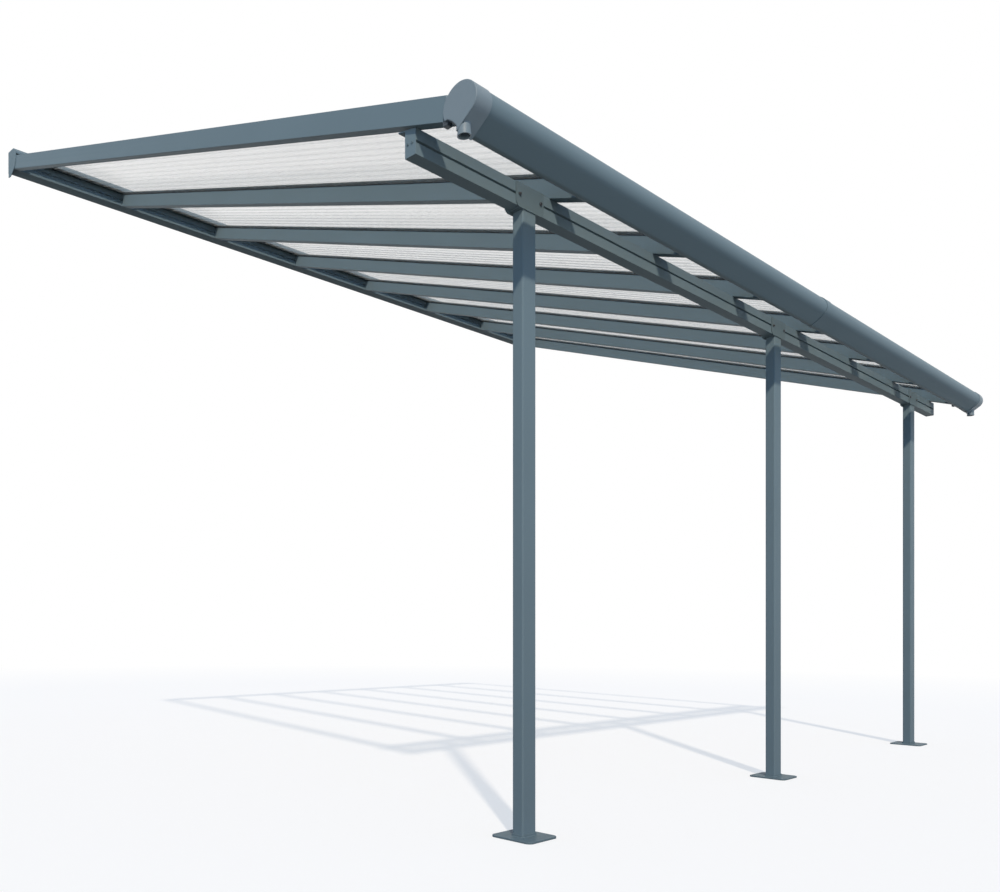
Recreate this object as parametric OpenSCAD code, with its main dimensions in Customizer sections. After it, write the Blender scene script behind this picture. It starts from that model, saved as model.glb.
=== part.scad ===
// Lean-to patio cover: aluminium frame, clear twin-wall roof panels and a round-nosed gutter.
// Millimetres. X runs along the wall, +Y points at the wall, +Z is up.
// The origin is on the back of the wall plate, half way along it and half way up it.

/* [Overall] */
// Width of the roof over its two end rafters
roof_width = 4240; // [3000:10:6000]
// Distance from the wall to the front face of the beam
wall_to_beam = 2910; // [2000:10:4000]
// Height of the middle of the wall plate above the ground
wall_height = 3020; // [2400:1:3600]
// Slope of the roof in degrees
roof_pitch = 19.57; // [12:0.01:25]
// Number of roof bays, one panel in each
bays = 7; // [3:1:9]

/* [Beam] */
// Height of the front beam
beam_height = 70; // [50:1:120]
// Thickness of the front beam, front to back
beam_depth = 40; // [30:1:80]
// Wall thickness of the beam
beam_wall = 2.5; // [1.5:0.5:5]
// How far the near end of the beam stands in from the side of the roof
beam_near_inset = 14; // [-50:1:200]
// How far the far end of the beam runs past the side of the roof
beam_far_overhang = 52; // [-200:1:200]
// Height of the slot along the front of the beam
slot_height = 7; // [4:1:12]
// Depth of the slot along the front of the beam
slot_depth = 9; // [4:1:20]
// Middle of the slot below the top of the beam
slot_drop = 35; // [20:1:60]
// Slope in degrees of the seat along the top of the beam
seat_pitch = 11; // [0:0.5:12]
// How far the seat reaches out behind the beam
seat_reach = 25; // [10:1:60]
// Thickness of the seat's free edge
seat_edge = 4; // [2:0.5:8]
// Thickness of the beam's end caps
beam_cap = 2.5; // [1:0.5:6]

/* [Posts] */
// Width of a post along the beam
post_width = 64; // [40:1:120]
// Thickness of a post, front to back
post_depth = 40; // [30:1:100]
// Wall thickness of a post
post_wall = 2.5; // [1.5:0.5:5]
// Radius of a post's corners
post_corner = 5; // [3:0.5:12]
// Side of the roof to the middle of the near post
post_near_inset = 498; // [200:1:1200]
// Side of the roof to the middle of the far post
post_far_inset = 312; // [200:1:1200]
// Length of a base plate along the beam
base_length = 140; // [100:1:250]
// Length of a base plate from front to back
base_breadth = 150; // [100:1:250]
// Thickness of a base plate
base_thick = 6; // [4:1:12]
// Radius of a base plate's corners
base_corner = 18; // [4:1:30]
// Wall thickness of the collar that stands round the foot of a post
collar_wall = 3; // [2:0.5:6]
// Height of that collar above the base plate
collar_height = 8; // [5:1:60]

/* [Post heads] */
// Width of the bracket that holds the beam
bracket_width = 132; // [90:1:200]
// Thickness of the bracket's plates
bracket_thick = 3; // [2:0.5:6]
// Radius of the bracket's lower corners
bracket_corner = 18; // [4:1:30]
// How far the bracket's plug reaches down inside the post
plug_drop = 60; // [20:1:120]
// How far the bracket's back plate hangs below the beam
back_drop = 6; // [2:1:60]

/* [Rafters] */
// Width of an inner rafter
rafter_width = 42; // [30:1:80]
// Width of an end rafter
end_rafter_width = 34; // [20:1:80]
// Depth of a rafter below the roof panels
rafter_depth = 61; // [40:1:120]
// Wall thickness of a rafter
rafter_wall = 2.5; // [1.5:0.5:5]
// Width of the rib on a rafter that keeps two panels apart
rib_width = 8; // [4:1:20]
// Distance of an end rafter's rib from the side of the roof
end_rib_inset = 12; // [10:1:20]
// Height of the kerb on an end rafter, outside its rib
end_kerb = 3; // [1:0.5:6]
// Width of the glazing bar over an inner rafter
glazing_width = 50; // [30:1:80]
// Distance of the glazing bar over an end rafter from the side of the roof
end_bar_inset = 18; // [14:1:19]
// Thickness of a glazing bar
glazing_thick = 3; // [2:0.5:6]

/* [Roof panels] */
// Thickness of a twin-wall panel
panel_thick = 8; // [6:1:16]
// Gap at each side of a panel
panel_gap = 2; // [1:0.5:5]

/* [Wall plate] */
// Depth of the wall plate at its foot, away from the wall
plate_depth = 65; // [40:1:100]
// Half the height of the wall plate
plate_half = 51.5; // [45:0.5:80]
// Reach of the hood over the panels, away from the wall
hood_reach = 103; // [85:1:140]
// Distance back from the hood's lip to the top of its sloping front
hood_slant = 27; // [10:1:40]
// Fall of the hood's top from the wall to that sloping front
hood_fall = 4; // [0:1:10]
// Drop from the top of the wall plate to the upper end of the hood's lip
hood_drop = 28; // [16:1:34]
// Thickness of the metal behind and over the panels
hood_wall = 4; // [2:0.5:8]
// Wall thickness of the hollow foot of the wall plate
plate_wall = 3; // [2:0.5:6]
// How far a panel's upper edge stays from the wall
panel_stop = 22; // [10:1:40]
// Gap between the hood's lower edge and the glazing bars
hood_gap = 1; // [0.5:0.5:5]
// Height of the groove along the front of the wall plate
plate_groove = 9; // [4:1:16]
// Middle of that groove above the foot of the wall plate
groove_rise = 31; // [20:1:40]
// Depth of that groove
plate_groove_depth = 7; // [3:1:15]
// Thickness of the wall plate's end covers
plate_cap = 3; // [2:0.5:10]
// How far an end cover hangs below the wall plate
cover_drop = 30; // [20:1:60]
// How far an end cover stands out in front of the hood
cover_proud = 4; // [0:1:10]

/* [Gutter] */
// Outer radius of the gutter's round nose
gutter_radius = 54.5; // [45:0.5:80]
// Distance of the nose's middle in front of the beam
gutter_forward = 170; // [120:1:300]
// Distance of the nose's middle below the top of the beam
gutter_drop = 21; // [0:1:60]
// Wall thickness of the gutter
gutter_wall = 2.5; // [1.5:0.5:5]
// Distance of the flat under the nose from the nose's middle
gutter_flat = 44; // [40:0.5:46]
// Radius that rounds the nose over into the flat below it
gutter_shoulder = 38; // [20:1:39]
// Tilt of that flat in degrees
flat_slope = 35; // [30:1:40]
// Tilt in degrees of the bottom behind the keel
back_slope = 43; // [38:1:50]
// Distance of the gutter's back from the nose's middle
back_reach = 48; // [40:1:54]
// Distance of the lip over the panels from the nose's middle
lip_reach = 24; // [16:1:30]
// Gap between the lip and the panels
lip_gap = 3; // [1:0.5:8]
// How far the panels reach in under the lip
panel_reach = 12; // [4:1:20]
// How far the far end of the gutter runs past the side of the roof
gutter_far_overhang = 110; // [0:1:200]
// Length of the joint cover half way along the gutter
joint_length = 60; // [30:1:120]

/* [Gutter ends] */
// Length of the chamber that an end cap adds to the gutter
cap_chamber = 36; // [30:1:80]
// Length of an end cap's sleeve over the gutter
cap_sleeve = 18; // [10:1:60]
// Thickness of the sleeves over the gutter
sleeve_wall = 2; // [1:0.5:4]
// Thickness of an end cap's plate
end_plate = 5; // [2:0.5:8]
// Outer radius of a spout
spout_radius = 17; // [12:0.5:17]
// Wall thickness of a spout
spout_wall = 2.5; // [1.5:0.5:4]
// Reach of a spout below the gutter's keel
spout_reach = 12; // [8:1:60]
// Height of the band round the mouth of a spout
spout_band = 6; // [3:0.5:8]
// How far that band stands out from the spout
band_proud = 0.6; // [0.4:0.1:2]

/* [Fit] */
// Clearance between a post and the collar round it or the plug in it
seat_gap = 0.2; // [0.1:0.1:1]

/* [Hidden] */
$fn = 64;
left = -roof_width / 2;
right = roof_width / 2;
ground = -wall_height;
rise = tan(roof_pitch);
upright = 1 / cos(roof_pitch);
beam_front = -wall_to_beam;
rafter_tall = rafter_depth * upright;
panel_tall = panel_thick * upright;
glazing_tall = glazing_thick * upright;
// The underside of the panels at the beam's front face, set so that the rafters end level with the
// foot of the wall plate
roof_at_beam = -plate_half + rafter_tall - rise * (wall_to_beam - plate_depth);
beam_top = roof_at_beam - rafter_tall;
beam_base = beam_top - beam_height;
post_top = beam_base - bracket_thick;
post_middle = beam_front + beam_depth / 2;
plug_corner = post_corner - post_wall;
rafter_pitch = (roof_width - end_rafter_width) / bays;
beam_left = left + beam_near_inset;
beam_right = right + beam_far_overhang;
post_first = left + post_near_inset;
post_last = right - post_far_inset;
nose_y = beam_front - gutter_forward;
nose_z = beam_top - gutter_drop;
gutter_back = nose_y + back_reach;
lip_y = nose_y + lip_reach;
panel_front = nose_y + panel_reach;
gutter_right = right + gutter_far_overhang;
gutter_split = (left + gutter_right) / 2;
// Angle at the shoulder's middle between where it leaves the nose and where it meets the flat
shoulder_turn = acos((gutter_flat - gutter_shoulder) / (gutter_radius - gutter_shoulder));
// Height of the keel, where the flat under the nose meets the bottom behind it
keel_drop = gutter_radius * sin(flat_slope) + gutter_flat * sin(back_slope);
keel_z = nose_z - keel_drop / sin(flat_slope + back_slope);
spout_foot = keel_z - spout_reach;
seat_depth = beam_depth + seat_reach;
hood_lip = panel_tall + glazing_tall + hood_gap;
// Corners of the notch under an end cap, measured from the nose's middle
notch_curve = [[11, -49], [25, -33], [40, -22], [2 * gutter_radius, -16]];
// How far a spout runs up inside the gutter
spout_root = 22;
metal = [0.36, 0.41, 0.45];
clear = [0.85, 0.89, 0.9, 0.5];

// Height of the panels' underside at a distance y from the wall
function roof(y) = roof_at_beam + rise * (y - beam_front);
// Middle of rafter i, counted from 0 at the near side
function rafter_x(i) = left + end_rafter_width / 2 + i * rafter_pitch;
function post_x(i) = post_first + i * (post_last - post_first) / 2;
function is_end(i) = i == 0 || i == bays;
function wide(i) = is_end(i) ? end_rafter_width : rafter_width;
// Near side of the rib on rafter i
function rib_x(i) = i == 0 ? left + end_rib_inset
    : i == bays ? right - end_rib_inset - rib_width
    : rafter_x(i) - rib_width / 2;

// An outline drawn in y and z, drawn out along x from x to x + w
module along(x, w) {
    translate([x, 0, 0]) rotate([90, 0, 90]) linear_extrude(height = w) children();
}

// A strip that follows the roof from y = a to y = b, low and high measured from the panels' underside
module strip(a, b, low, high) {
    polygon([[a, roof(a) + low], [b, roof(b) + low], [b, roof(b) + high], [a, roof(a) + high]]);
}

// A box with round upright corners, centred in x and y
module round_box(w, d, h, r) {
    linear_extrude(height = h) union() {
        square([w - 2 * r, d], center = true);
        square([w, d - 2 * r], center = true);
        for (sx = [-1, 1], sy = [-1, 1]) translate([sx * (w / 2 - r), sy * (d / 2 - r)]) circle(r);
    }
}

// The wall plate's end view: a hollow foot, and a hood with the panels' slot under it
module plate_outline() {
    top = plate_half;
    foot = -plate_half;
    groove = foot + groove_rise;
    difference() {
        polygon([[0, foot], [0, top], [-hood_reach + hood_slant, top - hood_fall],
            [-hood_reach, top - hood_drop], [-hood_reach, roof(-hood_reach)],
            [-plate_depth, roof(-plate_depth)], [-plate_depth, foot]]);
        // the slot that the panels slide into
        strip(-hood_reach - 1, -panel_stop, 0, hood_lip);
        // the hollow of the hood
        polygon([[-panel_stop, roof(-panel_stop) + hood_lip + plate_wall], [-hood_wall, top - hood_wall],
            [-hood_reach + hood_slant, top - hood_fall - hood_wall],
            [-hood_reach + hood_wall, top - hood_drop - hood_wall / 2],
            [-hood_reach + hood_wall, roof(-hood_reach + hood_wall) + hood_lip + plate_wall]]);
        translate([-plate_depth - 1, groove - plate_groove / 2])
            square([plate_groove_depth + 1, plate_groove]);
        // the two hollows of the foot, one below the groove and one behind and above it
        translate([-plate_depth + plate_wall, foot + plate_wall])
            square([plate_depth - 2 * plate_wall, groove_rise - plate_groove / 2 - 2 * plate_wall]);
        polygon([[-plate_depth + plate_groove_depth + plate_wall, groove - plate_groove / 2],
            [-plate_wall, groove - plate_groove / 2], [-plate_wall, roof(-panel_stop) - plate_wall],
            [-panel_stop, roof(-panel_stop) - plate_wall],
            [-plate_depth + plate_groove_depth + plate_wall,
                roof(-plate_depth + plate_groove_depth + plate_wall) - plate_wall]]);
    }
}

module wall_plate() {
    color(metal) along(left, roof_width) plate_outline();
}

// An end cover: its front follows the hood, and its lower end narrows towards the wall.
// Its corners run from the top at the wall, round the front, to the foot at the wall.
module wall_plate_cap(x) {
    top = plate_half;
    foot = -plate_half;
    low = foot - cover_drop;
    front = -hood_reach - cover_proud;
    color(metal) along(x, plate_cap) polygon([[-8, top], [front + cover_proud + hood_slant, top - hood_fall],
        [front + 4, top - 24], [front, top - 50], [front + 4, foot + 22],
        [front + 17, foot - 1], [front + 41, foot - 15], [-36, low], [-10, low + 4]]);
}

// A hollow rafter with the rib between the panels; an end rafter has a low kerb outside its rib
module rafter(i) {
    w = wide(i);
    x = rafter_x(i) - w / 2;
    a = gutter_back;
    b = -plate_depth;
    wall_up = rafter_wall * upright;
    color(metal) difference() {
        union() {
            along(x, w) strip(a, b, -rafter_tall, 0);
            along(rib_x(i), rib_width) strip(a, b, -wall_up, panel_tall);
            if (is_end(i)) along(i == 0 ? x : rib_x(i), end_rib_inset + rib_width)
                strip(a, b, -wall_up, end_kerb * upright);
        }
        along(x + rafter_wall, w - 2 * rafter_wall) strip(a - 1, b + 1, -rafter_tall + wall_up, -wall_up);
    }
}

// The bars that hold the panels down, one over each rafter
module glazing_bars() {
    half = glazing_width / 2;
    for (i = [0:bays]) {
        a = i == 0 ? left + end_bar_inset : rafter_x(i) - half;
        b = i == bays ? right - end_bar_inset : rafter_x(i) + half;
        color(metal) along(a, b - a) strip(gutter_back, -panel_stop, panel_tall, panel_tall + glazing_tall);
    }
}

module roof_panel(i) {
    a = rib_x(i - 1) + rib_width + panel_gap;
    b = rib_x(i) - panel_gap;
    color(clear) along(a, b - a) strip(panel_front, -panel_stop, 0, panel_tall);
}

// The beam's end view: a box with a seat along its top that slopes up under the rafters
module beam_outline() {
    tip = beam_height + seat_depth * tan(seat_pitch);
    heel = beam_height + beam_depth * tan(seat_pitch) - seat_edge;
    translate([beam_front, beam_base]) polygon([[0, 0], [0, beam_height], [seat_depth, tip],
        [seat_depth, tip - seat_edge], [beam_depth, heel], [beam_depth, 0]]);
}

// The beam, open at its ends and slotted along its front
module front_beam() {
    t = beam_wall;
    slot_foot = beam_top - slot_drop - slot_height / 2;
    color(metal) along(beam_left, beam_right - beam_left) difference() {
        beam_outline();
        difference() {
            translate([beam_front + t, beam_base + t]) square([beam_depth - 2 * t, beam_height - 2 * t]);
            translate([beam_front, slot_foot - t]) square([slot_depth + t, slot_height + 2 * t]);
        }
        translate([beam_front - 1, slot_foot]) square([slot_depth + 1, slot_height]);
    }
}

module beam_caps() {
    color(metal) {
        along(beam_left - beam_cap, beam_cap) beam_outline();
        along(beam_right, beam_cap) beam_outline();
    }
}

module post(i) {
    h = post_top - ground - base_thick;
    color(metal) translate([post_x(i), post_middle, ground + base_thick]) difference() {
        round_box(post_width, post_depth, h, post_corner);
        translate([0, 0, -1])
            round_box(post_width - 2 * post_wall, post_depth - 2 * post_wall, h + 2, plug_corner);
    }
}

module base_plate(i) {
    over = 2 * (collar_wall + seat_gap);
    color(metal) translate([post_x(i), post_middle, ground]) {
        round_box(base_length, base_breadth, base_thick, base_corner);
        difference() {
            round_box(post_width + over, post_depth + over, base_thick + collar_height,
                post_corner + collar_wall);
            translate([0, 0, base_thick])
                round_box(post_width + 2 * seat_gap, post_depth + 2 * seat_gap, collar_height + 1,
                    post_corner);
        }
    }
}

// The bracket's front or back plate: lower corners rounded
module bracket_face(h) {
    w = bracket_width;
    r = bracket_corner;
    translate([-w / 2, r]) square([w, h - r]);
    translate([-w / 2 + r, 0]) square([w - 2 * r, r + 1]);
    for (s = [-1, 1]) translate([s * (w / 2 - r), r]) circle(r);
}

// A saddle that holds the beam, with a plug in the head of the post
module post_bracket(i) {
    t = bracket_thick;
    half = beam_depth / 2;
    inside = 2 * (post_wall + seat_gap);
    color(metal) translate([post_x(i), post_middle, 0]) {
        translate([0, -half, post_top]) rotate([90, 0, 0]) linear_extrude(height = t)
            bracket_face(beam_height + t);
        translate([0, half + t, post_top - back_drop]) rotate([90, 0, 0]) linear_extrude(height = t)
            bracket_face(beam_height + t + back_drop - seat_edge);
        translate([-bracket_width / 2 + bracket_corner, -half - t, post_top])
            cube([bracket_width - 2 * bracket_corner, beam_depth + 2 * t, t]);
        translate([0, 0, post_top - plug_drop]) difference() {
            round_box(post_width - inside, post_depth - inside, plug_drop + 1, plug_corner);
            translate([0, 0, -1])
                round_box(post_width - inside - 2 * t, post_depth - inside - 2 * t, plug_drop + 1, 1);
        }
    }
}

// All that lies under a line with a slope and a distance from the nose's middle
module under(slope, distance) {
    far = 6 * gutter_radius;
    translate([nose_y, nose_z]) rotate(slope) translate([-far / 2, -distance - far]) square(far);
}

// What the round shoulder between nose and flat leaves out, with the gutter grown by g
module beyond_shoulder(g) {
    middle = (gutter_radius - gutter_shoulder) * [-sin(shoulder_turn), -cos(shoulder_turn)];
    translate([nose_y, nose_z]) rotate(-flat_slope) difference() {
        polygon([(gutter_radius + g) * [-sin(shoulder_turn), -cos(shoulder_turn)],
            2 * gutter_radius * [-sin(shoulder_turn / 2), -cos(shoulder_turn / 2)],
            middle - [0, gutter_shoulder + g]]);
        translate(middle) circle(gutter_shoulder + g);
    }
}

// The round nose and the space behind it as far as y = back, all grown by g
module nose_and_back(g, back, top) {
    difference() {
        union() {
            translate([nose_y, nose_z]) circle(gutter_radius + g);
            polygon([[nose_y, nose_z - 2 * gutter_radius], [back, nose_z - 2 * gutter_radius],
                [back, top ? roof(back) : nose_z], [nose_y, nose_z]]);
        }
        under(-flat_slope, gutter_flat + g);
        under(back_slope, gutter_radius + g);
        beyond_shoulder(g);
    }
}

// The gutter's outer end view, grown by g: round nose, flat under it, keel and upright back
module gutter_outer(g) {
    difference() {
        nose_and_back(g, gutter_back, true);
        translate([gutter_back, nose_z - gutter_radius]) square(3 * gutter_radius);
    }
}

// The hollow of the gutter
module gutter_hollow() {
    difference() {
        nose_and_back(-gutter_wall, gutter_back - gutter_wall, false);
        translate([gutter_back - gutter_wall, nose_z - gutter_radius]) square(3 * gutter_radius);
    }
}

// The opening between the lip and the gutter's back, where the panels come in
module gutter_mouth() {
    far = gutter_back + gutter_radius;
    over = nose_z + 2 * gutter_radius;
    polygon([[panel_front - 2, roof(panel_front - 2)], [far, roof(far)], [far, over], [lip_y, over],
        [lip_y, roof(lip_y) + panel_tall + lip_gap],
        [panel_front - 2, roof(panel_front - 2) + panel_tall + lip_gap]]);
}

// A sleeve round the outside of the gutter, open over the panels and behind
module gutter_sleeve(x, w) {
    color(metal) along(x, w) difference() {
        gutter_outer(sleeve_wall);
        gutter_outer(0);
        translate([lip_y, nose_z]) square(3 * gutter_radius);
    }
}

module gutter_length(a, b) {
    color(metal) along(a, b - a) difference() {
        gutter_outer(0);
        gutter_hollow();
        gutter_mouth();
    }
}

// The curved notch behind the spout that lifts an end cap clear of its rafter, grown by g
module cap_notch(g) {
    deep = -2 * gutter_radius;
    front = notch_curve[0][0] - g;
    back = notch_curve[len(notch_curve) - 1][0] - g;
    translate([nose_y, nose_z])
        polygon(concat([[front, deep]], [for (corner = notch_curve) corner + [-g, g]], [[back, deep]]));
}

// An end cap: a plate, a chamber that carries the spout, and a sleeve over the gutter.
// x is the inside of its plate and s its outward side.
module gutter_cap(x, s) {
    spout_x = x + s * (end_plate - spout_radius - band_proud);
    chamber_x = s < 0 ? x : x - cap_chamber;
    color(metal) difference() {
        union() {
            along(s < 0 ? x - end_plate : x, end_plate) difference() {
                nose_and_back(sleeve_wall, gutter_back, true);
                cap_notch(0);
            }
            along(chamber_x, cap_chamber) difference() {
                gutter_outer(sleeve_wall);
                cap_notch(0);
                difference() {
                    gutter_hollow();
                    cap_notch(gutter_wall);
                }
                gutter_mouth();
            }
            gutter_sleeve(s < 0 ? x + cap_chamber : x - cap_chamber - cap_sleeve, cap_sleeve);
            translate([spout_x, nose_y, spout_foot]) {
                cylinder(r = spout_radius, h = keel_z + spout_root - spout_foot);
                cylinder(r = spout_radius + band_proud, h = spout_band);
            }
        }
        translate([spout_x, nose_y, spout_foot - 1])
            cylinder(r = spout_radius - spout_wall, h = keel_z + 2 * spout_root - spout_foot);
    }
}

wall_plate();
wall_plate_cap(left - plate_cap);  // wall_plate_cap_near
wall_plate_cap(right);  // wall_plate_cap_far
rafter(0);  // rafter_1
rafter(1);  // rafter_2
rafter(2);  // rafter_3
rafter(3);  // rafter_4
rafter(4);  // rafter_5
rafter(5);  // rafter_6
rafter(6);  // rafter_7
rafter(7);  // rafter_8
glazing_bars();
roof_panel(1);  // roof_panel_1
roof_panel(2);  // roof_panel_2
roof_panel(3);  // roof_panel_3
roof_panel(4);  // roof_panel_4
roof_panel(5);  // roof_panel_5
roof_panel(6);  // roof_panel_6
roof_panel(7);  // roof_panel_7
front_beam();
beam_caps();
post(0);  // post_1
post(1);  // post_2
post(2);  // post_3
base_plate(0);  // base_plate_1
base_plate(1);  // base_plate_2
base_plate(2);  // base_plate_3
post_bracket(0);  // post_bracket_1
post_bracket(1);  // post_bracket_2
post_bracket(2);  // post_bracket_3
gutter_length(left + cap_chamber, gutter_split);  // gutter_near
gutter_length(gutter_split, gutter_right - cap_chamber);  // gutter_far
gutter_sleeve(gutter_split - joint_length / 2, joint_length);  // gutter_joint
gutter_cap(left, -1);  // gutter_cap_near
gutter_cap(gutter_right, 1);  // gutter_cap_far
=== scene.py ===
import math

import bmesh
import bpy
from mathutils import Matrix, Vector


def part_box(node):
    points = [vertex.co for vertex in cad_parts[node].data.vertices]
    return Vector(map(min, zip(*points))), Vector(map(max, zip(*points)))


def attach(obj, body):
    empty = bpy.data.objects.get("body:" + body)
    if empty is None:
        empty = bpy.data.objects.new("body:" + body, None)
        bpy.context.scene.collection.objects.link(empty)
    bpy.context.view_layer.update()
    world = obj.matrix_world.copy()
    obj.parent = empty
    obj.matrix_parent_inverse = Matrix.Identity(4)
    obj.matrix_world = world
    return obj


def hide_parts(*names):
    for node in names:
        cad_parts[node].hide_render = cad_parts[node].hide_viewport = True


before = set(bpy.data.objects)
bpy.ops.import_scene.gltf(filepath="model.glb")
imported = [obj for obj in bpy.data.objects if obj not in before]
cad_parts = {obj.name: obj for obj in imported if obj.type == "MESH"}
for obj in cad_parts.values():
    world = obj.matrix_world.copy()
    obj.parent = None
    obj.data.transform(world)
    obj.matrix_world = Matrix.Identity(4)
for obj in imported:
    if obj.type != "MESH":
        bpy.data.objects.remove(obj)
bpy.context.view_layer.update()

bl_info = {
    "name": "Patio cover looks",
    "version": (1, 0, 0),
    "blender": (4, 5, 0),
    "location": "3D View > Sidebar > Patio cover",
    "description": "Panels, rounded edges, seals, screws and finishes for a lean-to patio cover",
    "category": "Object",
}

MM = 0.001
BODY = "root"
SAME_PLACE = 0.01 * MM
BAYS = 7
RAFTERS = [f"rafter_{i}" for i in range(1, BAYS + 2)]
PANELS = [f"roof_panel_{i}" for i in range(1, BAYS + 1)]
POSTS = [f"post_{i}" for i in (1, 2, 3)]
BASES = [f"base_plate_{i}" for i in (1, 2, 3)]
BRACKETS = [f"post_bracket_{i}" for i in (1, 2, 3)]
ALONG_WALL = ["wall_plate", "wall_plate_cap_near", "wall_plate_cap_far",
              "front_beam", "beam_caps"]
GUTTER = ["gutter_near", "gutter_far", "gutter_joint"]
GUTTER_CAPS = ["gutter_cap_near", "gutter_cap_far"]

# Meshes: lengths in metres, angles in degrees
LONG_EDGE = 0.5
FLAT_WITHIN = 0.5
SHARP_FROM = 30
KEEL_REACH = 6 * MM
CAP_EDGE = 0.5 * MM
CAP_SCREW_BACK = 20 * MM
CAP_SCREW_ASIDE = 8 * MM
SCREW_STEPS = ((0, 0.25), (0.08, 0.12), (0.12, 0.05), (0.08, -0.25))
PLUG = (20 * MM, 18 * MM, 32 * MM)
PLUG_BACK = 6 * MM
PLUG_UP = 23 * MM
PLUG_ROUND = 4 * MM

# Noise: most of it lies between these two values
NOISE_LOW, NOISE_HIGH = 0.3, 0.7

# Panels: how much one face hides of what shows through it, the tone of the painted shadow that a web
# throws on a skin where it joins it, and the height at which a cosine wave from web to web starts to
# paint it
FACE_HIDES = 0.135
PAINTED_WEB_SHADOW = 0.62
STRIPE_STARTS = -0.4

# Light: colours are linear, lengths in metres, angles in degrees
SUN_PATH = (0.86, 0.97, -1.05)
SUN_STRENGTH = 3.25
SUN_WIDTH = 2.0
SUN_COLOUR = (1.0, 0.86, 0.69)
SKY_ZENITH = (0.18, 0.28, 0.44, 1.0)
SKY_HORIZON = (0.31, 0.56, 0.90, 1.0)
SKY_BEHIND = (0.84, 0.90, 0.96, 1.0)
SKY_STRENGTH = 1.0
WHITE = (1.0, 1.0, 1.0, 1.0)

# Floor: the garden begins beyond these x and y, and its edge is soft
FLOOR_RADIUS = 60
FLOOR_GAP = 0.2 * MM
FLOOR_BOUNCE = (0.05, 0.045, 0.04, 1.0)
FLOOR_FAR_BOUNCE = (1.2, 1.18, 1.12, 1.0)
FLOOR_GLOW = 0.6
FADE_STARTS, FADE_ENDS = 6.0, 12.0
GARDEN_X, GARDEN_Y, GARDEN_EDGE = -4.4, -4.3, 2.4

# Camera
CAMERA_PLACE = (-3.7805, -4.5635, -2.4041)
CAMERA_YAW = 41.088
CAMERA_LENS = 31.882
CAMERA_SHIFT = (0.15, 0.1876)
CAMERA_REACH = 200
FACES_SEEN_THROUGH = 24  # the webs of a panel seen at a low angle add up


def linear(colour):
    """An sRGB hex colour such as "#6a7a83" as the linear colour and alpha that a socket takes."""
    channels = [int(colour[i:i + 2], 16) / 255 for i in (1, 3, 5)]
    return (*(c / 12.92 if c <= 0.04045 else ((c + 0.055) / 1.055) ** 2.4 for c in channels), 1.0)


def length(name, description, millimetres):
    """A size that the sidebar shows as a length."""
    return bpy.props.FloatProperty(
        name=name, description=description, default=millimetres * MM,
        min=0, unit="LENGTH", precision=4)


def colour(name, description, value):
    """A colour that the sidebar shows as a swatch."""
    return bpy.props.FloatVectorProperty(
        name=name, description=description, default=linear(value),
        size=4, min=0, max=1, subtype="COLOR")


class CoverSizes(bpy.types.PropertyGroup):
    """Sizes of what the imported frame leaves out."""
    edge: length("Edge radius", "Radius of an extrusion's corners", 0.8)
    keel: length("Keel", "Distance over which the gutter's keel is rounded", 14)
    plate_edge: length("Plate edge radius", "Radius of the edges of the base plates", 1.5)
    weld: length("Weld", "Reach of the weld round the foot of a post", 7.4)
    cap_shoulder: length("Cap shoulder", "Radius of the shoulder round a gutter cap's end", 4.5)
    skin: length("Panel skin", "Thickness of a twin-wall panel's two skins", 0.7)
    web: length("Panel web", "Thickness of the webs between a panel's skins", 0.6)
    web_pitch: length("Web pitch", "Distance between a panel's webs", 45)
    seal: length("Seal", "Diameter of the rubber seals beside the rafters", 2.6)
    bar_seal: length("Bar seal", "Diameter of the rubber seals beside the glazing bars", 2.4)
    bolt: length("Bolt head", "Diameter of a bracket bolt's head", 11)
    bolt_spread: length("Bolt spread", "Distance between a bracket's two bolts", 100)
    cap_screw: length("Cap screw", "Diameter of the heads of the screws in the beam's caps", 7)


class CoverColours(bpy.types.PropertyGroup):
    """Colours of the cover's finishes."""
    coat: colour("Powder coat", "Slate blue-grey coat of the extrusions", "#63757f")
    # The plate coat is the extrusions' slate blue-grey made a little darker; that extra darkness is
    # painted shade for the base plates' tops, and the brackets share it
    plate_coat: colour("Plate coat", "Slate blue-grey coat of the brackets and base plates", "#5c6d76")
    moulding: colour("Moulding", "Slate grey plastic of the gutter's end caps", "#667681")
    panel: colour("Panel", "Clear polycarbonate", "#ecf1f2")
    plug: colour("Plug", "Dark grey plastic of the rafters' end plugs", "#3a444c")
    rubber: colour("Rubber", "Black rubber of the seals", "#15181b")
    steel: colour("Steel", "Blackened steel of the brackets' bolts", "#4a4d52")
    floor: colour("Floor", "Plain pale floor", "#f4f4f4")


def sizes():
    """The cover's sizes as the sidebar has them."""
    return bpy.context.scene.cover_sizes


def colours():
    """The cover's colours as the sidebar has them."""
    return bpy.context.scene.cover_colours


# ---- Materials ----

def node(tree, kind, inputs=None, **settings):
    """Adds a node with its settings. An input's value is a number, a colour or a socket to link."""
    made = tree.nodes.new(kind)
    for name, value in settings.items():
        setattr(made, name, value)
    for name, value in (inputs or {}).items():
        if isinstance(value, bpy.types.NodeSocket):
            tree.links.new(value, made.inputs[name])
        else:
            made.inputs[name].default_value = value
    return made


def empty_material(name):
    """A material with no nodes yet, and its tree."""
    material = bpy.data.materials.new(name)
    material.use_nodes = True
    material.node_tree.nodes.clear()
    return material, material.node_tree


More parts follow.
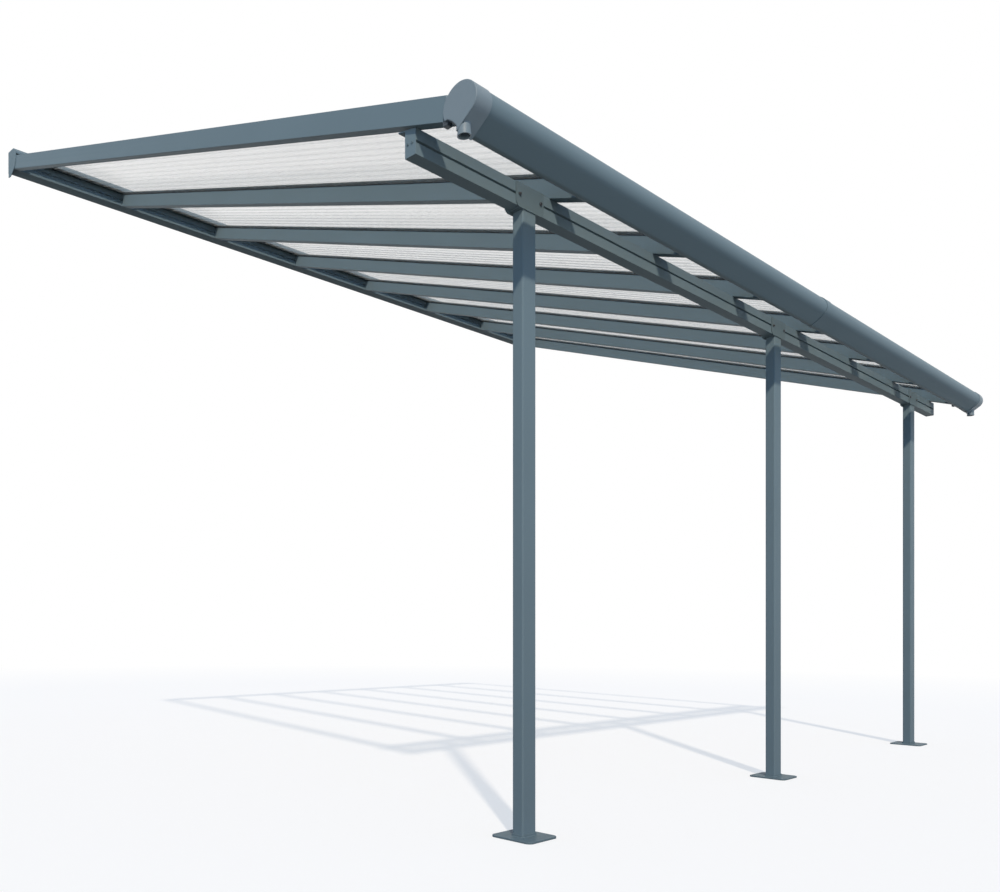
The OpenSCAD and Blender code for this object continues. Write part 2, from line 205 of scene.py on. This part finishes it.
def noise_along(tree, axis, pitch, across, along):
    """Noise drawn out along an extrusion: across and along are a streak's sizes, axis is x, y or z."""
    scale = [1 / across] * 3
    scale["xyz".index(axis)] = 1 / along
    coords = node(tree, "ShaderNodeTexCoord").outputs["Object"]
    turned = node(tree, "ShaderNodeMapping", {"Vector": coords, "Rotation": (-pitch, 0, 0)})
    stretched = node(tree, "ShaderNodeMapping", {
        "Vector": turned.outputs["Vector"], "Scale": scale})
    noise = node(tree, "ShaderNodeTexNoise", {
        "Vector": stretched.outputs["Vector"], "Scale": 1.0, "Detail": 2.0, "Roughness": 0.5})
    return noise.outputs["Fac"]


def even_noise(tree, size):
    """Noise whose features are about that size in every direction."""
    coords = node(tree, "ShaderNodeTexCoord").outputs["Object"]
    noise = node(tree, "ShaderNodeTexNoise", {"Vector": coords, "Scale": 1 / size, "Detail": 2.0})
    return noise.outputs["Fac"]


def toned(tree, fac, base, spread):
    """The base colour, a little darker and lighter as fac goes from 0 to 1."""
    darker = [c * (1 - spread) for c in base[:3]] + [1.0]
    lighter = [min(1.0, c * (1 + spread)) for c in base[:3]] + [1.0]
    mixed = node(tree, "ShaderNodeMix", {
        "Factor": fac, "A": darker, "B": lighter}, data_type="RGBA")
    return mixed.outputs["Result"]


def ranged(tree, value, low, high):
    """A noise value spread between low and high."""
    made = node(tree, "ShaderNodeMapRange", {
        "Value": value, "From Min": NOISE_LOW, "From Max": NOISE_HIGH,
        "To Min": low, "To Max": high})
    return made.outputs["Result"]


def coated_metal(name, base, axis="x", pitch=0.0, roughness=(0.40, 0.50)):
    """Polyester powder coat on aluminium: a satin paint whose sprayed grain softens every reflection,
    over faint lines that the extrusion die leaves. The real grain is 0.5 mm, drawn as 2 mm to show."""
    material, tree = empty_material(name)
    lines = noise_along(tree, axis, pitch, across=9 * MM, along=2500 * MM)
    bumps = node(tree, "ShaderNodeBump", {
        "Height": even_noise(tree, 2 * MM), "Strength": 0.12, "Distance": 0.1 * MM})
    lined = node(tree, "ShaderNodeBump", {
        "Height": lines, "Strength": 0.05, "Distance": 0.1 * MM, "Normal": bumps.outputs["Normal"]})
    tone = toned(tree, even_noise(tree, 300 * MM), base, spread=0.05)
    shader = node(tree, "ShaderNodeBsdfPrincipled", {
        "Base Color": tone, "Roughness": ranged(tree, lines, *roughness),
        "Normal": lined.outputs["Normal"], "IOR": 1.5, "Specular IOR Level": 0.03})
    node(tree, "ShaderNodeOutputMaterial", {"Surface": shader.outputs["BSDF"]})
    return material


def moulded_asa(name, base):
    """Injection-moulded ASA plastic: coloured through, with a fine spark-eroded texture and a soft
    sheen. The real texture is 0.3 mm, drawn as 1.5 mm to show."""
    material, tree = empty_material(name)
    texture = node(tree, "ShaderNodeBump", {
        "Height": even_noise(tree, 1.5 * MM), "Strength": 0.15, "Distance": 0.08 * MM})
    shader = node(tree, "ShaderNodeBsdfPrincipled", {
        "Base Color": toned(tree, even_noise(tree, 60 * MM), base, spread=0.03),
        "Roughness": ranged(tree, even_noise(tree, 20 * MM), 0.45, 0.55),
        "Normal": texture.outputs["Normal"], "IOR": 1.52, "Specular IOR Level": 0.4})
    node(tree, "ShaderNodeOutputMaterial", {"Surface": shader.outputs["BSDF"]})
    return material


def clear_polycarbonate(name, base, pitch, start, bay, step):
    """Extruded polycarbonate: clear and glossy, with a faint draw along its flutes. Each face of the
    two skins and the webs hides a little of what shows through it, and a painted shadow greys a skin
    where a web joins it, so the webs show as soft stripes. The panels start at x = start, a bay apart,
    and their webs stand a step apart."""
    material, tree = empty_material(name)
    draw = noise_along(tree, "y", pitch, across=14 * MM, along=900 * MM)
    waves = node(tree, "ShaderNodeBump", {"Height": draw, "Strength": 0.06, "Distance": 0.2 * MM})
    coords = node(tree, "ShaderNodeTexCoord").outputs["Object"]
    value = node(tree, "ShaderNodeSeparateXYZ", {0: coords}).outputs["X"]
    for operation, number in (
            ("SUBTRACT", start), ("FLOORED_MODULO", bay), ("MULTIPLY", math.tau / step)):
        value = node(
            tree, "ShaderNodeMath", {0: value, 1: number}, operation=operation).outputs["Value"]
    wave = node(tree, "ShaderNodeMath", {0: value}, operation="COSINE").outputs["Value"]
    stripe = node(tree, "ShaderNodeMapRange", {
        "Value": wave, "From Min": STRIPE_STARTS, "From Max": 1.0}).outputs["Result"]
    clear = toned(tree, even_noise(tree, 200 * MM), base, spread=0.02)
    # Painted shadow of the webs: the skin's colour is darkened in a soft stripe along each web
    web_shadow_colour = [c * PAINTED_WEB_SHADOW for c in base[:3]] + [1.0]
    shadowed_skin = node(tree, "ShaderNodeMix", {
        "Factor": stripe, "A": clear, "B": web_shadow_colour}, data_type="RGBA")
    shader = node(tree, "ShaderNodeBsdfPrincipled", {
        "Base Color": shadowed_skin.outputs["Result"], "Roughness": ranged(tree, draw, 0.08, 0.16),
        "Normal": waves.outputs["Normal"], "IOR": 1.58, "Alpha": FACE_HIDES})
    node(tree, "ShaderNodeOutputMaterial", {"Surface": shader.outputs["BSDF"]})
    return material


def epdm_rubber(name, base):
    """Extruded EPDM rubber: black and matt, with a bloom that greys it in patches."""
    material, tree = empty_material(name)
    grain = node(tree, "ShaderNodeBump", {
        "Height": even_noise(tree, 1.2 * MM), "Strength": 0.2, "Distance": 0.05 * MM})
    shader = node(tree, "ShaderNodeBsdfPrincipled", {
        "Base Color": toned(tree, even_noise(tree, 80 * MM), base, spread=0.25),
        "Roughness": ranged(tree, even_noise(tree, 25 * MM), 0.6, 0.8),
        "Normal": grain.outputs["Normal"], "IOR": 1.5, "Specular IOR Level": 0.35})
    node(tree, "ShaderNodeOutputMaterial", {"Surface": shader.outputs["BSDF"]})
    return material


def blackened_steel(name, base):
    """Zinc-plated steel with a black passivation: a dark metal with a dull, uneven shine."""
    material, tree = empty_material(name)
    shader = node(tree, "ShaderNodeBsdfPrincipled", {
        "Base Color": toned(tree, even_noise(tree, 4 * MM), base, spread=0.15),
        "Roughness": ranged(tree, even_noise(tree, 3 * MM), 0.35, 0.5), "Metallic": 1.0})
    node(tree, "ShaderNodeOutputMaterial", {"Surface": shader.outputs["BSDF"]})
    return material


def seen_ray(tree):
    """1 where a surface is seen, directly, in a reflection or through glass, and 0 where it only
    throws light at the object."""
    ray = node(tree, "ShaderNodeLightPath").outputs
    seen = ray["Is Camera Ray"]
    for name in ("Is Glossy Ray", "Is Transmission Ray"):
        either = node(tree, "ShaderNodeMath", {0: seen, 1: ray[name]}, operation="MAXIMUM")
        seen = either.outputs["Value"]
    return seen


def pale_floor(name, base):
    """A plain pale floor that fades to white away from the object. What it throws back at the object
    is dull under the roof and behind it, where a house would shade it, and pale out in the garden."""
    material, tree = empty_material(name)
    seen = seen_ray(tree)
    coords = node(tree, "ShaderNodeTexCoord").outputs["Object"]
    out = node(tree, "ShaderNodeVectorMath", {0: coords}, operation="LENGTH").outputs["Value"]
    fade = node(tree, "ShaderNodeMapRange", {
        "Value": out, "From Min": FADE_STARTS, "From Max": FADE_ENDS, "To Min": FLOOR_GLOW})
    place = node(tree, "ShaderNodeSeparateXYZ", {0: coords}).outputs
    beside = node(tree, "ShaderNodeMath", {0: GARDEN_X, 1: place["X"]}, operation="SUBTRACT")
    before = node(tree, "ShaderNodeMath", {0: GARDEN_Y, 1: place["Y"]}, operation="SUBTRACT")
    outside = node(tree, "ShaderNodeMath", {
        0: beside.outputs["Value"], 1: before.outputs["Value"]}, operation="MAXIMUM")
    thrown = node(tree, "ShaderNodeMapRange", {
        "Value": outside.outputs["Value"], "From Min": 0.0, "From Max": GARDEN_EDGE})
    tint = node(tree, "ShaderNodeMix", {
        "Factor": seen, "A": FLOOR_BOUNCE, "B": base}, data_type="RGBA")
    matt = node(tree, "ShaderNodeBsdfDiffuse", {"Color": tint.outputs["Result"]})
    glow = node(tree, "ShaderNodeMix", {
        "Factor": seen, "A": FLOOR_FAR_BOUNCE, "B": WHITE}, data_type="RGBA")
    pale = node(tree, "ShaderNodeEmission", {"Color": glow.outputs["Result"], "Strength": 1.0})
    share = node(tree, "ShaderNodeMix", {
        "Factor": seen, "A": thrown.outputs["Result"], "B": fade.outputs["Result"]})
    mixed = node(tree, "ShaderNodeMixShader", {
        0: share.outputs["Result"], 1: matt.outputs["BSDF"], 2: pale.outputs["Emission"]})
    node(tree, "ShaderNodeOutputMaterial", {"Surface": mixed.outputs["Shader"]})
    return material


# ---- Measures taken from the frame ----

def corners_at(name, y):
    """Lowest and highest z of a node's corners at that y."""
    heights = [v.co.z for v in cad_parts[name].data.vertices if abs(v.co.y - y) < SAME_PLACE]
    return min(heights), max(heights)


def spans(name):
    """The stretches of x that a node of like bars covers, as (near, far) pairs."""
    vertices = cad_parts[name].data.vertices
    edges = sorted({round(v.co.x / SAME_PLACE) * SAME_PLACE for v in vertices})
    return list(zip(edges[::2], edges[1::2]))


PANEL_LOW, PANEL_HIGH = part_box(PANELS[0])
PANEL_FOOT, PANEL_FOOT_TOP = corners_at(PANELS[0], PANEL_LOW.y)
PANEL_TALL = PANEL_FOOT_TOP - PANEL_FOOT
SLOPE = (PANEL_HIGH.z - PANEL_FOOT_TOP) / (PANEL_HIGH.y - PANEL_LOW.y)
PITCH = math.atan(SLOPE)
UPRIGHT = 1 / math.cos(PITCH)


def roof(y):
    """Height of the panels' underside at y."""
    return PANEL_FOOT + SLOPE * (y - PANEL_LOW.y)


# ---- Meshes ----

def finish_piece(bm, name, material, replaced=(), smooth_under=35.0):
    """Turns a bmesh into a piece of the cover that rides on its body. Edges that turn by less than
    smooth_under degrees are shaded smooth."""
    bmesh.ops.recalc_face_normals(bm, faces=bm.faces)
    for face in bm.faces:
        face.smooth = True
    for edge in bm.edges:
        edge.smooth = edge.is_manifold and edge.calc_face_angle() < math.radians(smooth_under)
    mesh = bpy.data.meshes.new(name)
    bm.to_mesh(mesh)
    bm.free()
    piece = bpy.data.objects.new(name, mesh)
    bpy.context.scene.collection.objects.link(piece)
    piece.data.materials.append(material)
    flat = piece.modifiers.new("flat faces stay flat", "WEIGHTED_NORMAL")
    flat.keep_sharp = True
    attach(piece, BODY)
    if replaced:
        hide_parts(*replaced)
    return piece


def merged(name):
    """A node's mesh as one closed skin of plain faces."""
    bm = bmesh.new()
    bm.from_mesh(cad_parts[name].data)
    bmesh.ops.remove_doubles(bm, verts=bm.verts, dist=SAME_PLACE)
    bmesh.ops.dissolve_limit(
        bm, angle_limit=math.radians(FLAT_WITHIN), verts=bm.verts, edges=bm.edges)
    return bm


def sharp_edges(bm, wanted=lambda edge: True):
    """The edges that turn sharply and are wanted."""
    return [e for e in bm.edges
            if e.is_manifold and e.calc_face_angle() > math.radians(SHARP_FROM) and wanted(e)]


def round_edges(bm, edges, radius, segments):
    """Rounds those edges."""
    if not edges:
        raise RuntimeError("there are no edges to round")
    bmesh.ops.bevel(bm, geom=edges, offset=radius, offset_type="OFFSET", segments=segments,
                    profile=0.5, affect="EDGES", material=-1, clamp_overlap=True)


def runs_along(edge):
    """Does the edge run along the length of an extrusion?"""
    return edge.calc_length() > LONG_EDGE


def rounded_copy(name, material):
    """A copy of a node with its sharp edges rounded, which stands for the node. The wall plate's ends
    lie against its caps, so only its lengthwise edges are rounded."""
    bm = merged(name)
    edges = sharp_edges(bm, runs_along) if name == "wall_plate" else sharp_edges(bm)
    round_edges(bm, edges, sizes().edge, segments=2)
    return finish_piece(bm, f"{name}_rounded", material, [name])


def keel_edges(bm):
    """The lengthwise edges at the gutter's keel, on both sides of its wall."""
    keel = min(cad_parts[GUTTER[0]].data.vertices, key=lambda v: v.co.z).co.yz
    return [e for e in bm.edges if abs(e.verts[0].co.x - e.verts[1].co.x) > MM
            and all((v.co.yz - keel).length < KEEL_REACH for v in e.verts)]


def rounded_gutter(name, material):
    """A copy of a length of gutter with its keel well rounded, which stands for the node."""
    bm = merged(name)
    round_edges(bm, keel_edges(bm), sizes().keel, segments=8)
    round_edges(bm, sharp_edges(bm), sizes().edge, segments=2)
    return finish_piece(bm, f"{name}_rounded", material, [name])


def level(edge, axis, value):
    """Do both of an edge's ends lie at that value of an axis?"""
    return all(abs(v.co["xyz".index(axis)] - value) < SAME_PLACE for v in edge.verts)


def bead(bm, x, low, high, radius):
    """A round bead from one point (y, z) to another at that x, added to a bmesh."""
    ring = bmesh.ops.create_circle(bm, cap_ends=True, segments=8, radius=radius)["verts"]
    quarter_turn = Matrix.Rotation(math.radians(90), 3, "X")
    bmesh.ops.rotate(bm, verts=ring, cent=(0, 0, 0), matrix=quarter_turn)
    bmesh.ops.translate(bm, verts=ring, vec=(x, *low))
    face = ring[0].link_faces[0]
    drawn = bmesh.ops.extrude_face_region(bm, geom=[face], use_keep_orig=True)["geom"]
    ends = [v for v in drawn if isinstance(v, bmesh.types.BMVert)]
    bmesh.ops.translate(bm, verts=ends, vec=(0, high[0] - low[0], high[1] - low[1]))


def screw_head(bm, place, towards, diameter):
    """A domed screw head with a round socket, its seat at place and its face towards a unit vector.
    Each step draws the face in, and then raises or sinks it, by a share of the diameter."""
    others = set(bm.verts)
    rim = bmesh.ops.create_circle(bm, cap_ends=True, segments=16, radius=diameter / 2)["verts"]
    face = rim[0].link_faces[0]
    for inset, rise in SCREW_STEPS:
        if inset:
            bmesh.ops.inset_region(bm, faces=[face], thickness=inset * diameter)
        else:
            drawn = bmesh.ops.extrude_face_region(bm, geom=[face], use_keep_orig=True)["geom"]
            face = next(f for f in drawn if isinstance(f, bmesh.types.BMFace))
        bmesh.ops.translate(bm, verts=face.verts, vec=(0, 0, rise * diameter))
    made = [v for v in bm.verts if v not in others]
    turn = Vector((0, 0, 1)).rotation_difference(Vector(towards)).to_matrix()
    bmesh.ops.rotate(bm, verts=made, cent=(0, 0, 0), matrix=turn)
    bmesh.ops.translate(bm, verts=made, vec=place)


# ---- Operators ----

class COVER_OT_frame_parts(bpy.types.Operator):
    """Rounds the edges of the extruded frame and gives it its powder coat"""
    bl_idname = "cover.frame_parts"
    bl_label = "Frame"

    def execute(self, context):
        along_x = coated_metal("powder_coated_extrusion", colours().coat, "x")
        upright = coated_metal("powder_coated_post", colours().coat, "z")
        sloping = coated_metal("powder_coated_rafter", colours().coat, "y", PITCH)
        for names, material in (
                (ALONG_WALL, along_x), (POSTS, upright), (RAFTERS + ["glazing_bars"], sloping)):
            for name in names:
                rounded_copy(name, material)
        for name in GUTTER:
            rounded_gutter(name, along_x)
        return {"FINISHED"}


class COVER_OT_plates(bpy.types.Operator):
    """Makes the brackets, and the base plates with the weld round the foot of each post"""
    bl_idname = "cover.plates"
    bl_label = "Brackets and base plates"

    def execute(self, context):
        # The plate coat's extra darkness over the extrusions' coat is painted shade
        material = coated_metal(
            "powder_coated_steel_plate", colours().plate_coat, "z", roughness=(0.36, 0.46))
        for name in BRACKETS:
            rounded_copy(name, material)
        for name in BASES:
            low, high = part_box(name)
            bm = merged(name)
            top = sorted({round(v.co.z, 6) for v in bm.verts})[1]
            inner = sharp_edges(bm, lambda e: level(e, "z", top) and not e.is_convex)
            round_edges(bm, inner, sizes().weld, segments=6)
            outer = sharp_edges(bm, lambda e: level(e, "z", top) or level(e, "z", high.z))
            round_edges(bm, outer, sizes().plate_edge, segments=3)
            finish_piece(bm, f"{name}_welded", material, [name])
        return {"FINISHED"}


class COVER_OT_gutter_caps(bpy.types.Operator):
    """Makes the gutter's moulded end caps with their round shoulders"""
    bl_idname = "cover.gutter_caps"
    bl_label = "Gutter caps"

    def execute(self, context):
        material = moulded_asa("moulded_asa_plastic", colours().moulding)
        for name in GUTTER_CAPS:
            low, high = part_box(name)
            end = low.x if name.endswith("near") else high.x
            bm = merged(name)
            rim = sharp_edges(bm, lambda e: level(e, "x", end))
            round_edges(bm, rim, sizes().cap_shoulder, segments=5)
            rest = sharp_edges(bm, lambda e: not level(e, "x", end))
            round_edges(bm, rest, CAP_EDGE, segments=2)
            finish_piece(bm, f"{name}_moulded", material, [name])
        return {"FINISHED"}


class COVER_OT_panels(bpy.types.Operator):
    """Makes the twin-wall roof panels, with two skins and the webs between them"""
    bl_idname = "cover.panels"
    bl_label = "Roof panels"

    def execute(self, context):
        low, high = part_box(PANELS[1])
        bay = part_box(PANELS[2])[0].x - low.x
        step = flutes_and_pitch(low, high)[1]
        material = clear_polycarbonate(
            "clear_extruded_polycarbonate", colours().panel, PITCH, low.x, bay, step)
        for name in PANELS:
            sheet = finish_piece(
                twin_wall(*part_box(name)), f"{name}_twin_wall", material, [name],
                smooth_under=20.0)
            sheet.visible_shadow = False  # the clear sheet lets nearly all of the sun through
        return {"FINISHED"}


def flutes_and_pitch(low, high):
    """How many flutes a panel has between its two sides, and the distance between their webs."""
    flutes = round((high.x - low.x) / sizes().web_pitch)
    return flutes, (high.x - low.x - sizes().web) / flutes


def twin_wall(low, high):
    """A sheet of two skins joined by webs that run up the slope, open at both ends. Real webs stand
    10 mm apart, and are drawn further apart so that they show."""
    flutes, pitch = flutes_and_pitch(low, high)
    xs = [low.x + k * pitch + side for k in range(flutes + 1) for side in (0, sizes().web)]
    skin = sizes().skin * UPRIGHT
    zs = [0, skin, PANEL_TALL - skin, PANEL_TALL]
    bm = bmesh.new()
    grid = bmesh.ops.create_grid(
        bm, x_segments=len(xs) - 1, y_segments=len(zs) - 1, size=0.5)["verts"]
    for vert in grid:
        column = round((vert.co.x + 0.5) * (len(xs) - 1))
        row = round((vert.co.y + 0.5) * (len(zs) - 1))
        vert.co = (xs[column], low.y, PANEL_FOOT + zs[row])
    middles = [(face, face.calc_center_median()) for face in bm.faces]
    flute_ends = [face for face, middle in middles
                  if zs[1] < middle.z - PANEL_FOOT < zs[2]
                  and (middle.x - low.x) % pitch > sizes().web]
    bmesh.ops.delete(bm, geom=flute_ends, context="FACES_ONLY")
    drawn = bmesh.ops.extrude_face_region(bm, geom=bm.faces[:], use_keep_orig=True)["geom"]
    upper = [v for v in drawn if isinstance(v, bmesh.types.BMVert)]
    run = high.y - low.y
    bmesh.ops.translate(bm, verts=upper, vec=(0, run, SLOPE * run))
    return bm


class COVER_OT_seals(bpy.types.Operator):
    """Lays the rubber seals between the panels, the rafters and the glazing bars"""
    bl_idname = "cover.seals"
    bl_label = "Seals"

    def execute(self, context):
        material = epdm_rubber("extruded_epdm_rubber", colours().rubber)
        radius = sizes().seal / 2
        lower = bmesh.new()
        for name in RAFTERS:
            low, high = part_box(name)
            for x in (low.x - radius / 2, high.x + radius / 2):
                if PANEL_LOW.x < x < -PANEL_LOW.x:
                    ends = [(y, roof(y) - radius * UPRIGHT) for y in (low.y + radius, high.y)]
                    bead(lower, x, *ends, radius)
        finish_piece(lower, "panel_seals", material)
        upper = bmesh.new()
        low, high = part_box("glazing_bars")
        radius = sizes().bar_seal / 2
        for near, far in spans("glazing_bars"):
            for x in (near - radius / 2, far + radius / 2):
                if PANEL_LOW.x < x < -PANEL_LOW.x:
                    ends = [(y, roof(y) + PANEL_TALL + radius * UPRIGHT)
                            for y in (low.y, high.y)]
                    bead(upper, x, *ends, radius)
        finish_piece(upper, "glazing_bar_seals", material)
        return {"FINISHED"}


class COVER_OT_screws(bpy.types.Operator):
    """Sets the bolts in the brackets and the screws in the beam's caps"""
    bl_idname = "cover.screws"
    bl_label = "Bolts and screws"

    def execute(self, context):
        material = blackened_steel("blackened_steel", colours().steel)
        beam_low, beam_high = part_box("beam_caps")
        middle = sum(corners_at("beam_caps", beam_low.y)) / 2
        bolts = bmesh.new()
        for name in BRACKETS:
            low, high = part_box(name)
            centre = (low.x + high.x) / 2
            for side in (-0.5, 0.5):
                place = (centre + side * sizes().bolt_spread, low.y, middle)
                screw_head(bolts, place, (0, -1, 0), sizes().bolt)
        finish_piece(bolts, "bracket_bolts", material)
        screws = bmesh.new()
        centre_y = beam_low.y + CAP_SCREW_BACK
        for x, towards in ((beam_low.x, (-1, 0, 0)), (beam_high.x, (1, 0, 0))):
            for side in (-CAP_SCREW_ASIDE, CAP_SCREW_ASIDE):
                screw_head(screws, (x, centre_y + side, middle), towards, sizes().cap_screw)
        coated = coated_metal("powder_coated_screw", colours().coat)
        finish_piece(screws, "beam_cap_screws", coated)
        return {"FINISHED"}


class COVER_OT_plugs(bpy.types.Operator):
    """Moulds the small plugs that close the lower ends of the two end rafters"""
    bl_idname = "cover.plugs"
    bl_label = "Rafter plugs"

    def execute(self, context):
        material = moulded_asa("moulded_asa_plug", colours().plug)
        bm = bmesh.new()
        for name, side in ((RAFTERS[0], 1), (RAFTERS[-1], -1)):
            low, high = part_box(name)
            outer = low.x if side > 0 else high.x
            foot = corners_at(name, low.y)[0]
            middle = (
                outer + side * PLUG[0] / 2, low.y + PLUG_BACK, foot + PLUG_UP - PLUG[2] / 2)
            block = bmesh.ops.create_cube(bm, size=1)["verts"]
            bmesh.ops.scale(bm, verts=block, vec=PLUG)
            bmesh.ops.translate(bm, verts=block, vec=middle)
        round_edges(bm, bm.edges[:], PLUG_ROUND, segments=3)
        finish_piece(bm, "rafter_end_plugs", material)
        return {"FINISHED"}


class COVER_OT_stage(bpy.types.Operator):
    """Sets the pale floor, the soft light and the camera"""
    bl_idname = "cover.stage"
    bl_label = "Stage"

    def execute(self, context):
        scene = context.scene
        scene.view_settings.view_transform = "Standard"
        scene.cycles.transparent_max_bounces = FACES_SEEN_THROUGH
        lay_floor(scene)
        light_world(scene)
        hang_sun(scene)
        aim_camera(scene)
        return {"FINISHED"}


def lay_floor(scene):
    """A wide round floor just under the base plates."""
    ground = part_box(BASES[0])[0].z
    bm = bmesh.new()
    ring = bmesh.ops.create_circle(bm, cap_ends=True, segments=96, radius=FLOOR_RADIUS)["verts"]
    bmesh.ops.translate(bm, verts=ring, vec=(0, 0, ground - FLOOR_GAP))
    mesh = bpy.data.meshes.new("floor")
    bm.to_mesh(mesh)
    bm.free()
    mesh.materials.append(pale_floor("matt_pale_floor", colours().floor))
    floor = bpy.data.objects.new("floor", mesh)
    scene.collection.objects.link(floor)


def light_world(scene):
    """A soft sky that lights the object, blue in front and pale behind, and is seen as plain white."""
    world = bpy.data.worlds.new("soft_sky")
    scene.world = world
    world.use_nodes = True
    tree = world.node_tree
    tree.nodes.clear()
    direction = node(tree, "ShaderNodeTexCoord").outputs["Generated"]
    towards = node(tree, "ShaderNodeSeparateXYZ", {0: direction}).outputs
    behind = node(
        tree, "ShaderNodeMath", {0: towards["X"], 1: towards["Y"]}, operation="ADD", use_clamp=True)
    horizon = node(tree, "ShaderNodeMix", {
        "Factor": behind.outputs["Value"], "A": SKY_HORIZON, "B": SKY_BEHIND}, data_type="RGBA")
    sky = node(tree, "ShaderNodeMix", {
        "Factor": towards["Z"], "A": horizon.outputs["Result"], "B": SKY_ZENITH}, data_type="RGBA")
    lamps = node(tree, "ShaderNodeBackground", {
        "Color": sky.outputs["Result"], "Strength": SKY_STRENGTH})
    white = node(tree, "ShaderNodeBackground", {"Color": WHITE, "Strength": 1.0})
    mixed = node(tree, "ShaderNodeMixShader", {
        0: seen_ray(tree), 1: lamps.outputs["Background"], 2: white.outputs["Background"]})
    node(tree, "ShaderNodeOutputWorld", {"Surface": mixed.outputs["Shader"]})


def hang_sun(scene):
    """One soft sun from the front and the near side."""
    data = bpy.data.lights.new("sun", "SUN")
    data.energy = SUN_STRENGTH
    data.angle = math.radians(SUN_WIDTH)
    data.color = SUN_COLOUR
    lamp = bpy.data.objects.new("sun", data)
    lamp.rotation_mode = "QUATERNION"
    lamp.rotation_quaternion = Vector(SUN_PATH).to_track_quat("-Z", "Y")
    scene.collection.objects.link(lamp)


def aim_camera(scene):
    """The camera stands level in front of the near end and looks along the cover."""
    data = bpy.data.cameras.new("camera")
    data.lens = CAMERA_LENS
    data.shift_x, data.shift_y = CAMERA_SHIFT
    data.clip_end = CAMERA_REACH
    camera = bpy.data.objects.new("camera", data)
    camera.location = CAMERA_PLACE
    camera.rotation_euler = (math.radians(90), 0, -math.radians(CAMERA_YAW))
    scene.collection.objects.link(camera)
    scene.camera = camera


class COVER_PT_sidebar(bpy.types.Panel):
    """The patio cover's sizes, colours and steps"""
    bl_idname = "COVER_PT_sidebar"
    bl_label = "Patio cover"
    bl_space_type = "VIEW_3D"
    bl_region_type = "UI"
    bl_category = "Patio cover"

    def draw(self, context):
        for group in (context.scene.cover_sizes, context.scene.cover_colours):
            for name in group.bl_rna.properties.keys():
                if name not in ("rna_type", "name"):
                    self.layout.prop(group, name)
        for step in STEPS:
            self.layout.operator(step.bl_idname)


STEPS = (COVER_OT_frame_parts, COVER_OT_plates, COVER_OT_gutter_caps, COVER_OT_panels,
         COVER_OT_seals, COVER_OT_screws, COVER_OT_plugs, COVER_OT_stage)
CLASSES = (CoverSizes, CoverColours, *STEPS, COVER_PT_sidebar)


def register():
    for each in CLASSES:
        bpy.utils.register_class(each)
    bpy.types.Scene.cover_sizes = bpy.props.PointerProperty(type=CoverSizes)
    bpy.types.Scene.cover_colours = bpy.props.PointerProperty(type=CoverColours)


def unregister():
    del bpy.types.Scene.cover_colours
    del bpy.types.Scene.cover_sizes
    for each in reversed(CLASSES):
        bpy.utils.unregister_class(each)


def main():
    """Builds the looks in order."""
    register()
    bpy.ops.cover.frame_parts()
    bpy.ops.cover.plates()
    bpy.ops.cover.gutter_caps()
    bpy.ops.cover.panels()
    bpy.ops.cover.seals()
    bpy.ops.cover.screws()
    bpy.ops.cover.plugs()
    bpy.ops.cover.stage()


if __name__ == "__main__":
    main()
